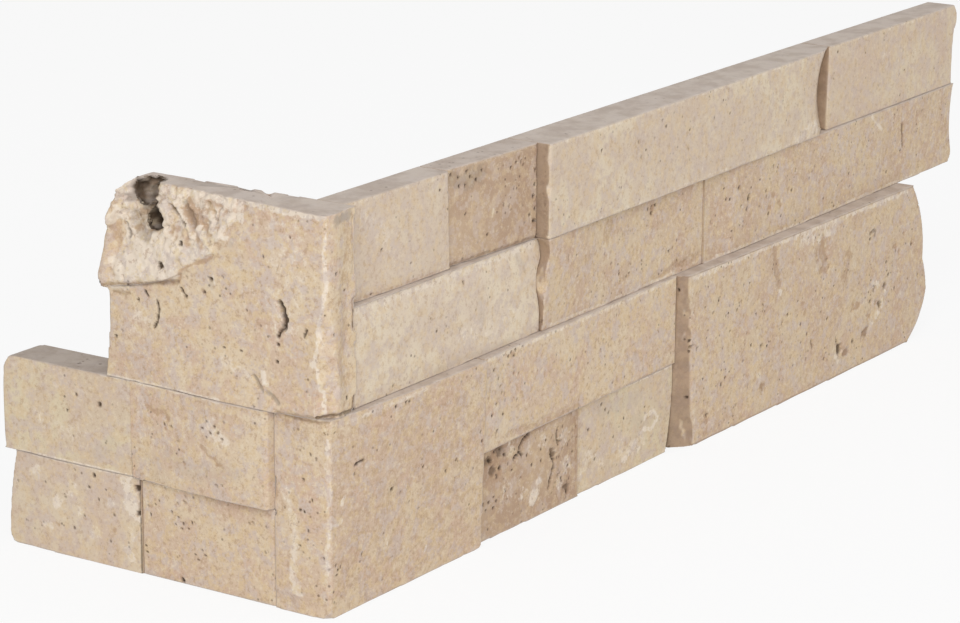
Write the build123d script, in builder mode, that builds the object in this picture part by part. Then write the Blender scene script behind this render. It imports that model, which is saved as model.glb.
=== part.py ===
from build123d import *
import os

os.makedirs("parts", exist_ok=True)

# Outside-corner panel of stacked travertine, in millimetres.
# The origin is the foot of the inside corner, where the two wall faces meet.
# The long leg runs along +X and shows its faces to -Y.
# The short leg (the return) runs along +Y and shows its faces to -X.

# Driving dimensions
course = 38.1                     # height of one course of stone
height = 4 * course
waist = 2 * course                # level where the panel steps sideways
third = 3 * course                # level between the third and the top course
thickness = 17.85                 # nominal, from the wall face to the show face
step = 50.8                       # how far the upper half is set over from the lower half
corner_lap = 7.7                  # how far the lower corner block laps the return's show face
worn = 0.8                        # wear round a show face
cut_depth = 45.0                  # longer than any stone is thick


def lap(out):
    """Where the slanted end of the lower corner block meets the return, out from the wall face."""
    return out * corner_lap / thickness


def plumb(distance, low, high):
    """A plumb edge, between two levels."""
    return [(distance, low), (distance, high)]


# Joints between neighbours, listed upwards as (distance along the leg, level)
top_joint_1 = [(66.0, third), (64.5, height)]
top_joint_2 = plumb(124.5, third, height)
top_joint_3 = [(363.0, third), (364.1, height)]
broken_joint = [(125.5, waist), (125.8, 84.0), (124.4, 91.0), (123.2, 98.0), (125.2, 104.0),
                (126.6, 109.0), (124.0, third)]
third_joint = plumb(252.9, waist, third)
block_end, bottom_joint, end_block_start = 80.3, 154.5, 230.0
return_second_joint, return_bottom_joint = 74.0, 70.8

# Broken ends at the far side of each leg, listed upwards
end_block_break = [(436.0, 0.0), (449.0, 11.0), (454.5, 22.5), (452.5, 31.0), (449.0, 38.5),
                   (446.8, 57.0), (436.0, waist)]
third_break = [(489.7, waist), (492.6, 78.5), (493.0, 82.0), (490.5, 98.0), (493.3, third)]
top_break = [(491.9, third), (491.6, 125.0), (492.9, 140.1), (495.6, 146.5), (491.3, height)]
return_upper_break = [(86.4, waist), (83.9, 95.0), (83.5, 109.0), (87.0, 115.5), (84.5, 134.0),
                      (81.8, 146.5), (76.1, height)]
return_second_break = [(138.5, course), (139.1, 54.0), (138.6, 69.0), (136.4, 74.4), (131.2, waist)]
return_bottom_break = [(135.1, 0.0), (137.3, 2.0), (137.9, 5.5), (136.6, 20.0), (133.1, course)]
bottom_stone_2_break = [(224.5, 0.0), (228.2, 16.0), (229.4, course)]


def edge(points):
    """One line of an outline: sawn straight, gently bowed, or broken into a run of shell-shaped scallops.

    Each scallop is an arc through three points, and shares its last point with the next one.
    """
    if len(points) == 2:
        Line(*points)
    for start, middle, end in zip(points[0:-2:2], points[1::2], points[2::2]):
        ThreePointArc(start, middle, end)


def plan(level, stations, on_return=False, wall_start=None):
    """A stone seen from above, at one level.

    A station is (distance along the leg, thickness there). The wall face is straight,
    and the show face runs through the stations. wall_start is where the wall face
    begins when the first end is cut at a slant.
    """
    def place(along, out):
        return (-out, along) if on_return else (along, -out)

    first, last = stations[0], stations[-1]
    start = first[0] if wall_start is None else wall_start
    with BuildSketch(Plane.XY.offset(level)) as footprint:
        with BuildLine():
            edge([place(*station) for station in stations])
            Polyline(place(*last), place(last[0], 0), place(start, 0), place(*first))
        make_face()
    return footprint.sketch


def front(plane, left, right):
    """A stone seen from the front, between its left and its right edge, both listed upwards."""
    with BuildSketch(plane) as face:
        with BuildLine():
            edge(left)
            edge(right)
            Line(left[0], right[0])
            Line(left[-1], right[-1])
        make_face()
    return face.sketch


def show_arrises(stone, side=Axis.Y):
    """The edges round a stone's show face, which of all its faces lies furthest out."""
    return stone.faces().sort_by(side)[0].edges()


behind_long = Plane.XZ.offset(-10)     # behind the long leg's wall face, looks towards -Y
behind_return = Plane.YZ.offset(10)    # behind the return's wall face, its local x runs along +Y

# Lower corner block: two courses high, and its sawn end shows on the return.
# Its show face leans out towards the top, more so away from the corner.
with BuildPart() as corner_block_lower:
    with BuildSketch():
        with BuildLine():
            show = ThreePointArc((-17.4, -17.9), (35.0, -20.9), (block_end, -21.6))
            Polyline(show @ 1, (block_end, 0.0), (0.0, 0.0), (-thickness, corner_lap))
            ThreePointArc((-thickness, corner_lap), (-18.2, -6.0), show @ 0)
        make_face()
    extrude(amount=waist)
    split(bisect_by=Plane((35, -18.1, 0), z_dir=(-0.014, -1, -0.037)), keep=Keep.BOTTOM)
    chamfer(edges().sort_by_distance((-thickness, -thickness, course))[0], length=1.2)

# End block: two courses high, the thickest stone, with a worn start and a broken far end
with BuildPart() as end_block:
    extrude(plan(0, [(226, 20.9), (340, 22.8), (460, 23.7)]), amount=waist)
    extrude(front(behind_long, plumb(end_block_start, 0, waist), end_block_break), amount=cut_depth,
            mode=Mode.INTERSECT)
    split(bisect_by=Plane((end_block_start + 0.2, -14, 0), z_dir=(0.65, 0.755, 0.045)), keep=Keep.TOP)
    chamfer(show_arrises(end_block), length=worn)

# Second course of the long leg
with BuildPart() as second_course_stone:
    extrude(plan(course, [(block_end, 19.6), (150, 18.4), (end_block_start, 16.9)]), amount=course)
    chamfer(show_arrises(second_course_stone), length=worn)

# Bottom course of the long leg
with BuildPart() as bottom_course_stone_1:
    extrude(plan(0, [(block_end, 15.4), (115, 16.4), (bottom_joint, 16.4)]), amount=course)
    chamfer(show_arrises(bottom_course_stone_1), length=worn)

with BuildPart() as bottom_course_stone_2:
    extrude(plan(0, [(bottom_joint, 15.3), (190, 16.2), (235, 16.3)]), amount=course)
    extrude(front(behind_long, plumb(bottom_joint, 0, course), bottom_stone_2_break), amount=cut_depth,
            mode=Mode.INTERSECT)
    chamfer(show_arrises(bottom_course_stone_2), length=worn)

# Third course: the second stone meets the first along a broken end, and its top corner stands out
with BuildPart() as third_course_stone_1:
    extrude(plan(waist, [(0, 16.7), (60, 16.5), (130, 15.6)]), amount=course)
    extrude(front(behind_long, plumb(0, waist, third), broken_joint), amount=cut_depth, mode=Mode.INTERSECT)
    chamfer(show_arrises(third_course_stone_1), length=worn)

with BuildPart() as third_course_stone_2:
    extrude(plan(waist, [(118, 20.9), (160, 17.4), (256, 15.6)]), amount=course)
    split(bisect_by=Plane((125, -16.6, waist), z_dir=(0.008, -1, -0.09)), keep=Keep.BOTTOM)
    extrude(front(behind_long, broken_joint, third_joint), amount=cut_depth, mode=Mode.INTERSECT)

with BuildPart() as third_course_stone_3:
    extrude(plan(waist, [(250, 16.8), (370, 16.2), (500, 14.6)]), amount=course)
    extrude(front(behind_long, third_joint, third_break), amount=cut_depth, mode=Mode.INTERSECT)
    chamfer(show_arrises(third_course_stone_3), length=worn)

# Top course: the third stone's far corner has flaked off in one shell-shaped scoop
with BuildPart() as top_course_stone_1:
    extrude(plan(third, [(0, 12.4), (35, 13.6), (70, 13.8)]), amount=course)
    extrude(front(behind_long, plumb(0, third, height), top_joint_1), amount=cut_depth, mode=Mode.INTERSECT)
    chamfer(show_arrises(top_course_stone_1), length=worn)

with BuildPart() as top_course_stone_2:
    extrude(plan(third, [(60, 11.5), (95, 13.8), (124.5, 14.9)]), amount=course)
    extrude(front(behind_long, top_joint_1, top_joint_2), amount=cut_depth, mode=Mode.INTERSECT)
    chamfer(show_arrises(top_course_stone_2), length=worn)

with BuildPart() as top_course_stone_3:
    extrude(plan(third, [(120, 20.3), (240, 19.2), (370, 17.2)]), amount=course)
    extrude(front(behind_long, top_joint_2, top_joint_3), amount=cut_depth, mode=Mode.INTERSECT)
    with Locations((381.4, -66.8, 131)):
        Sphere(60, mode=Mode.SUBTRACT)
    chamfer(show_arrises(top_course_stone_3), length=worn)

with BuildPart() as top_course_stone_4:
    extrude(plan(third, [(358, 14.8), (430, 14.6), (500, 13.9)]), amount=course)
    extrude(front(behind_long, top_joint_3, top_break), amount=cut_depth, mode=Mode.INTERSECT)
    chamfer(show_arrises(top_course_stone_4), length=worn)

# Upper corner block: it belongs to the return, and its rough end shows on the long leg.
# A crust of crystals stands on its outer top corner, leans back towards the top,
# and opens into two dissolved hollows.
crust_root = -17.0
crust_slope = Plane((-21.3, 50, 119), z_dir=(-1, 0.104, 0.265))
crust_lip = [(95.0, 110.5), (78.6, 112.2), (61.8, 116.0), (47.0, 122.0), (36.0, 130.5), (29.0, 142.0),
             (22.0, 157.0)]
with BuildPart() as corner_block_upper:
    with BuildSketch(Plane.XY.offset(waist)):
        with BuildLine():
            show = ThreePointArc((-17.9, 92.0), (-19.6, 30.0), (-19.2, -17.4))
            edge([show @ 1, (-14.5, -18.6), (-10.0, -18.3), (-5.0, -17.5), (0.0, -17.9)])
            Polyline((0.0, -17.9), (0.0, 92.0), show @ 0)
        make_face()
    extrude(amount=waist)
    with BuildSketch(Plane.YZ.offset(crust_root)):
        with BuildLine():
            edge(crust_lip)
            Polyline(crust_lip[-1], (95.0, 157.0), crust_lip[0])
        make_face()
    extrude(amount=-6.0)
    split(bisect_by=crust_slope, keep=Keep.BOTTOM)
    extrude(front(behind_return, plumb(-30, waist, height), return_upper_break), amount=-cut_depth,
            mode=Mode.INTERSECT)
    with Locations((-9.0, 69.5, 149.0)):
        Sphere(5.8, mode=Mode.SUBTRACT)
    with Locations((-13.0, 63.0, 139.5)):
        Sphere(4.0, mode=Mode.SUBTRACT)
    corner_arris = edges().sort_by_distance((-19.2, -17.4, course * 3))[0]
    foot_arris = edges().sort_by_distance((-19.6, 34.5, waist))[0]
    chamfer([corner_arris, foot_arris], length=worn)

# Return, lower half: its first stones start at the slanted end of the corner block
with BuildPart() as return_second_stone_1:
    extrude(plan(course, [(lap(20.9), 20.9), (40, 21.2), (return_second_joint, 20.7)], True, 0),
            amount=course)
    chamfer(show_arrises(return_second_stone_1, Axis.X), length=worn)

with BuildPart() as return_second_stone_2:
    extrude(plan(course, [(return_second_joint, 18.0), (110, 18.2), (145, 17.5)], True), amount=course)
    extrude(front(behind_return, plumb(return_second_joint, course, waist), return_second_break),
            amount=-cut_depth, mode=Mode.INTERSECT)
    chamfer(show_arrises(return_second_stone_2, Axis.X), length=worn)

with BuildPart() as return_bottom_stone_1:
    extrude(plan(0, [(lap(17.4), 17.4), (40, 17.6), (return_bottom_joint, 17.4)], True, 0), amount=course)
    chamfer(show_arrises(return_bottom_stone_1, Axis.X), length=worn)

with BuildPart() as return_bottom_stone_2:
    extrude(plan(0, [(return_bottom_joint, 18.8), (100, 18.5), (145, 17.2)], True), amount=course)
    extrude(front(behind_return, plumb(return_bottom_joint, 0, course), return_bottom_break),
            amount=-cut_depth, mode=Mode.INTERSECT)
    chamfer(show_arrises(return_bottom_stone_2, Axis.X), length=worn)

stones = {
    "corner_block_upper": corner_block_upper,
    "corner_block_lower": corner_block_lower,
    "end_block": end_block,
    "second_course_stone": second_course_stone,
    "bottom_course_stone_1": bottom_course_stone_1,
    "bottom_course_stone_2": bottom_course_stone_2,
    "third_course_stone_1": third_course_stone_1,
    "third_course_stone_2": third_course_stone_2,
    "third_course_stone_3": third_course_stone_3,
    "top_course_stone_1": top_course_stone_1,
    "top_course_stone_2": top_course_stone_2,
    "top_course_stone_3": top_course_stone_3,
    "top_course_stone_4": top_course_stone_4,
    "return_second_stone_1": return_second_stone_1,
    "return_second_stone_2": return_second_stone_2,
    "return_bottom_stone_1": return_bottom_stone_1,
    "return_bottom_stone_2": return_bottom_stone_2,
}
for label, stone in stones.items():
    stone.part.label = label
    export_step(stone.part, f"parts/{label}.step")
    size = stone.part.bounding_box().size
    print(f"{label}: {size.X:.1f} x {size.Y:.1f} x {size.Z:.1f} mm, {stone.part.volume / 1000:.1f} cm3")
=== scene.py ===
# %% [markdown]
# A corner panel of split travertine, the kind that is tiled onto a pillar or a low wall.
# Seventeen small stones are glued side by side in four courses, and each stone is a little thicker
# or thinner than its neighbour, so that the wall looks hand laid. The CAD model gives every stone
# its place and outline. This script gives each one its skin: the waves and pits of the split face,
# the worn arrises, the white calcite and the brown earth in the holes, which is partly painted shade.

# %% The imported model and the tools
import math
import bmesh
import bpy
import numpy as np
from mathutils import Matrix, Vector


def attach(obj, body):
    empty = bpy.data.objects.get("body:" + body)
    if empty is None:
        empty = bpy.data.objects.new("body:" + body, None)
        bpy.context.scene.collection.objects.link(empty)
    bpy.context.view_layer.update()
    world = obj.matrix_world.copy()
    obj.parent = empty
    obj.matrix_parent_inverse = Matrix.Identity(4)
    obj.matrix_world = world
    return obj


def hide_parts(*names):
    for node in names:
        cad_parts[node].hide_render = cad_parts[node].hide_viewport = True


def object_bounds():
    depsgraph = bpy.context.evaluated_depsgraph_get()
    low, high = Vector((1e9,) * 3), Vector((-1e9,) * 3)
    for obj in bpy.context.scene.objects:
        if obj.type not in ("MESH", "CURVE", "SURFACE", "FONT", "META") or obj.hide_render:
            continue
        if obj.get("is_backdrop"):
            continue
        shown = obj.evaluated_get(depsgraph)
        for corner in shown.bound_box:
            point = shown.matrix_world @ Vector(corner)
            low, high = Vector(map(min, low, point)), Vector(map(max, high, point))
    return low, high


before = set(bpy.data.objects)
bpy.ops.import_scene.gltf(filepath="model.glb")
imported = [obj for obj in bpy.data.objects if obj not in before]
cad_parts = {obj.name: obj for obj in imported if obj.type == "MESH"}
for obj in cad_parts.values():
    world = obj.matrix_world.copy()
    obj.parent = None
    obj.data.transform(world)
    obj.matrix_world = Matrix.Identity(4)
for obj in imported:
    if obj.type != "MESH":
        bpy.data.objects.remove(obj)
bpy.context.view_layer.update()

MM = 0.001

# %% [markdown]
# Every stone has one finished face, which looks away from the wall: -Y on the long leg and -X on
# the short leg, called the return here. The two corner blocks show a second finished face where
# they turn the corner. The outer end of each course is broken, not sawn, so it is rough too.
# A quarry block is not the same all through, so each stone also gets its own place and turn
# in the block, and its own share of pits.

# %% The seventeen stones
LONG, RETURN = "long", "return"
LOOKS_TO = {LONG: np.array([0.0, -1.0, 0.0]), RETURN: np.array([-1.0, 0.0, 0.0])}
OUTER_END = {LONG: np.array([1.0, 0.0, 0.0]), RETURN: np.array([0.0, 1.0, 0.0])}

# name: finish, finished faces, broken outer end, pits in the face (0 to 1), waviness, roundness
STONES = {
    "corner_block_lower": ("tan_travertine", (LONG, RETURN), False, 0.12, 0.9, 0.45),
    "corner_block_upper": ("tan_travertine", (RETURN, LONG), True, 0.02, 1.4, 0.45),
    "second_course_stone": ("tan_travertine", (LONG,), False, 0.15, 0.8, 0.35),
    "end_block": ("pitted_tan_travertine", (LONG,), True, 0.35, 1.2, 0.5),
    "bottom_course_stone_1": ("brown_travertine", (LONG,), False, 0.78, 1.4, 0.6),
    "bottom_course_stone_2": ("greenish_travertine", (LONG,), True, 0.08, 1.1, 0.6),
    "third_course_stone_1": ("ivory_travertine", (LONG,), True, 0.02, 0.9, 0.7),
    "third_course_stone_2": ("pitted_tan_travertine", (LONG,), False, 0.10, 0.8, 0.4),
    "third_course_stone_3": ("pitted_tan_travertine", (LONG,), True, 0.18, 0.8, 0.4),
    "top_course_stone_1": ("cream_travertine", (LONG,), False, 0.03, 1.0, 0.45),
    "top_course_stone_2": ("brown_travertine", (LONG,), False, 0.30, 0.9, 0.45),
    "top_course_stone_3": ("cream_travertine", (LONG,), False, 0.05, 0.7, 0.45),
    "top_course_stone_4": ("pinkish_travertine", (LONG,), True, 0.02, 0.6, 0.45),
    "return_second_stone_1": ("tan_travertine", (RETURN,), False, 0.06, 0.9, 0.1),
    "return_second_stone_2": ("greenish_travertine", (RETURN,), True, 0.05, 0.7, 0.15),
    "return_bottom_stone_1": ("tan_travertine", (RETURN,), False, 0.15, 0.7, 0.2),
    "return_bottom_stone_2": ("pinkish_travertine", (RETURN,), True, 0.10, 1.0, 0.2),
}
# How full the arrises are at the foot and at the top: 1 is a sharp edge, 0 keeps the CAD chamfer
CHAMFER = 0.8
FULLNESS = {name: (0.75, 0.75) for name in STONES}
FULLNESS.update({
    "corner_block_upper": (1.0, 0.0), "corner_block_lower": (0.0, 0.0),
    "third_course_stone_2": (0.0, 0.0),
    "top_course_stone_1": (1.0, 0.75), "top_course_stone_2": (1.0, 0.75),
    "return_second_stone_1": (0.9, 1.0), "return_second_stone_2": (1.0, 0.9),
    "return_bottom_stone_1": (0.6, 0.9), "return_bottom_stone_2": (0.6, 1.0),
    "bottom_course_stone_2": (0.75, 0.3), "second_course_stone": (0.5, 0.8),
})
# How much of its brown, which is partly painted shade, a glued end shows, where that isn't all of it
PALE_ENDS = {"return_second_stone_1": 0.2, "return_bottom_stone_1": 0.4, "return_bottom_stone_2": 0.5,
             "third_course_stone_3": 0.4}
print(len(STONES), "stones,", sum(len(s[1]) == 2 for s in STONES.values()), "of them turn the corner")

# %% [markdown]
# A CAD solid has few, large faces, and relief needs many small ones. A voxel remesh wraps the
# solid in an even skin of small squares, whatever its outline. Subdividing each face would follow
# the long thin triangles of the CAD mesh and give an uneven skin, so the remesh was chosen.

# %% A fine, even skin over one solid
# The size of a square in mm, and how often its corners are averaged to round an arris
SKIN_STEP, SOFT_ROUNDS = ((0.6, 3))
WELD = 1e-6


def fine_skin(node, step):
    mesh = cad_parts[node].data.copy()
    welded = bmesh.new()
    welded.from_mesh(mesh)
    bmesh.ops.remove_doubles(welded, verts=welded.verts, dist=WELD)
    welded.to_mesh(mesh)
    welded.free()
    carrier = bpy.data.objects.new("carrier", mesh)
    bpy.context.scene.collection.objects.link(carrier)
    remesh = carrier.modifiers.new("even_skin", "REMESH")
    remesh.mode = "VOXEL"
    remesh.voxel_size = step * MM
    skin = bpy.data.meshes.new_from_object(carrier.evaluated_get(bpy.context.evaluated_depsgraph_get()))
    bpy.data.objects.remove(carrier)
    bpy.data.meshes.remove(mesh)
    skin.name = node + "_skin"
    return skin


# %% [markdown]
# Stone has no two equal places, and yet the script has to give the same stone at each run.
# So the relief comes from arithmetic noise: a whole number hash gives each corner of an
# invisible grid a fixed height, and the points between the corners blend them smoothly.

# %% Noise for the relief
def corner_values(cell, seed):
    """A fixed number from 0 to 1 for each corner of the grid."""
    i, j, k = (cell[:, n].astype(np.int64).astype(np.uint32) for n in range(3))
    h = i * np.uint32(374761393) + j * np.uint32(668265263) + k * np.uint32(2246822519)
    h = h + np.uint32(seed * 3266489917 & 0xFFFFFFFF)
    h = (h ^ (h >> np.uint32(15))) * np.uint32(2246822519)
    h = (h ^ (h >> np.uint32(13))) * np.uint32(3266489917)
    return ((h ^ (h >> np.uint32(16))) & np.uint32(0xFFFF)) / 65535.0


def clouds(points, size, seed):
    """Soft lumps about `size` mm wide, from -1 to 1."""
    scaled = points / size
    cell = np.floor(scaled)
    part = scaled - cell
    part = part * part * (3 - 2 * part)
    total = np.zeros(len(points))
    for corner in np.ndindex(2, 2, 2):
        share = np.prod(np.where(np.array(corner), part, 1 - part), axis=1)
        total += share * corner_values(cell + np.array(corner), seed)
    return total * 2 - 1


def hollows(points, normals, spacing, largest, share, seed):
    """How deep round pores cut below each point: one pore at most in each cell of the stone."""
    cell = np.floor(points / spacing)
    depth = np.zeros(len(points))
    for offset in np.ndindex(3, 3, 3):
        at = cell + np.array(offset) - 1
        centre = (at + np.stack([corner_values(at, seed + n) for n in range(3)], axis=1)) * spacing
        size = corner_values(at, seed + 3)
        radius = largest * (0.35 + 0.65 * size * size)
        there = corner_values(at, seed + 4) < share
        away = points - centre
        along = np.einsum("ij,ij->i", away, normals)
        inside = along**2 - np.einsum("ij,ij->i", away, away) + radius**2
        cut = along + np.sqrt(np.maximum(inside, 0))
        depth = np.maximum(depth, np.where(there & (inside > 0), cut, 0))
    return np.maximum(depth, 0)


def smooth(x):
    """0 up to 0, 1 from 1 on, and an even curve from one to the other."""
    x = np.clip(x, 0, 1)
    return x * x * (3 - 2 * x)


sample = np.random.default_rng(1).uniform(0, 100, (2000, 3))
print("clouds:", clouds(sample, 10, 1).min().round(2), "to", clouds(sample, 10, 1).max().round(2))

# %% [markdown]
# What is special on a stone is given in millimetres on its finished face: first the
# distance along the leg, then the height. A mark follows a short line and fades out at its reach.
# It can sink the surface or raise it, and it can paint one or more of four masks that the shader
# reads later: earth for dark dirt in a hole and for painted shade in the deep hollows, under the
# crust's lip and on one shaded top bed, calcite for white crystals and pale dust, which along some
# glued joints is also painted light over the joint's shade, rust for warm brown stains and for
# painted shade under the crust's lip and in its dips, and ash for grey patches.

# %% Marks
PAINTS = ("earth", "calcite", "rust", "ash")
BED = "bed"
MARKS = {}


def mark(reach, *path, face=None, sink=0.0, rag=0.6, **paint):
    """A line through points of two numbers on a face, the stone's first one if none is named.

    On BED the points are seen from above. Points of three numbers lie in space, so that a line can
    run round a corner. rag is how far its rim wanders, as a share of the reach.
    """
    return {"reach": reach, "path": path, "face": face, "sink": sink, "rag": rag, "paint": paint}


def spots(reach, *places, **look):
    return [mark(reach, at, **look) for at in places]


def pits(radius, *places, depth=1.3, face=None):
    return spots(radius * 1.25, *places, face=face, sink=depth * radius, rag=0.45, earth=1.0)


def crack(width, depth, *path):
    return mark(width, *path, sink=depth, rag=0.5, earth=1.0)


def distance_to_path(flat, path):
    """Distance from each point to the nearest part of a broken line, on a face or in space."""
    ends = np.array(path, float)
    if len(ends) == 1:
        return np.linalg.norm(flat - ends[0], axis=1)
    nearest = np.full(len(flat), np.inf)
    for start, end in zip(ends[:-1], ends[1:]):
        run = end - start
        share = np.clip((flat - start) @ run / (run @ run), 0, 1)
        nearest = np.minimum(nearest, np.linalg.norm(flat - start - share[:, None] * run, axis=1))
    return nearest


print("paints:", ", ".join(PAINTS))

# %% [markdown]
# The upper corner block is the showpiece. Its outer top corner has lost its sawn face, and a
# crust of white calcite shows there with two dark holes where reeds or moss once were, a ridge
# curled round a shell-like knob, and a thin lip where the crust ends. First comes where the crust
# lies. Its knobs are made further down, with the shape of the stone.

# %% Where the crust lies
HOLES = [((-9.0, 69.5, 149.0), 5.8), ((-13.0, 63.0, 139.5), 4.0)]
LIP = [(88, 112.4), (80.4, 113), (70.3, 114.6), (58.9, 117), (49.8, 118.4), (48.2, 122), (45.4, 125.2),
       (40.7, 127), (37, 128.2), (34.5, 131), (30, 136.5), (24, 143.5), (19, 149), (16, 156)]
LEFT_RIM = [(83, 113), (80.5, 120), (79, 126.5), (78, 132), (81.5, 136), (83.5, 141), (84, 149)]


def crust_cover(points):
    """1 well inside the crust on the return's face, 0 outside its lip and its left band."""
    along, up = points[:, 1], points[:, 2]
    uneven = clouds(points, 3.4, 911) + clouds(points, 1.5, 912) * 0.6
    foot = np.interp(-along, [-y for y, z in LIP], [z for y, z in LIP])
    left = np.interp(up, [z for y, z in LEFT_RIM], [y for y, z in LEFT_RIM])
    return smooth((up - foot + uneven) / 1.4) * smooth((left - along + uneven) / 1.4)


def near_a_hole(points):
    """1 on the wall of the two dissolved hollows, 0 from a short way off."""
    gap = np.min([np.linalg.norm(points - np.array(at), axis=1) - radius for at, radius in HOLES], axis=0)
    return smooth((2.0 - gap) / 1.6)


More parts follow.
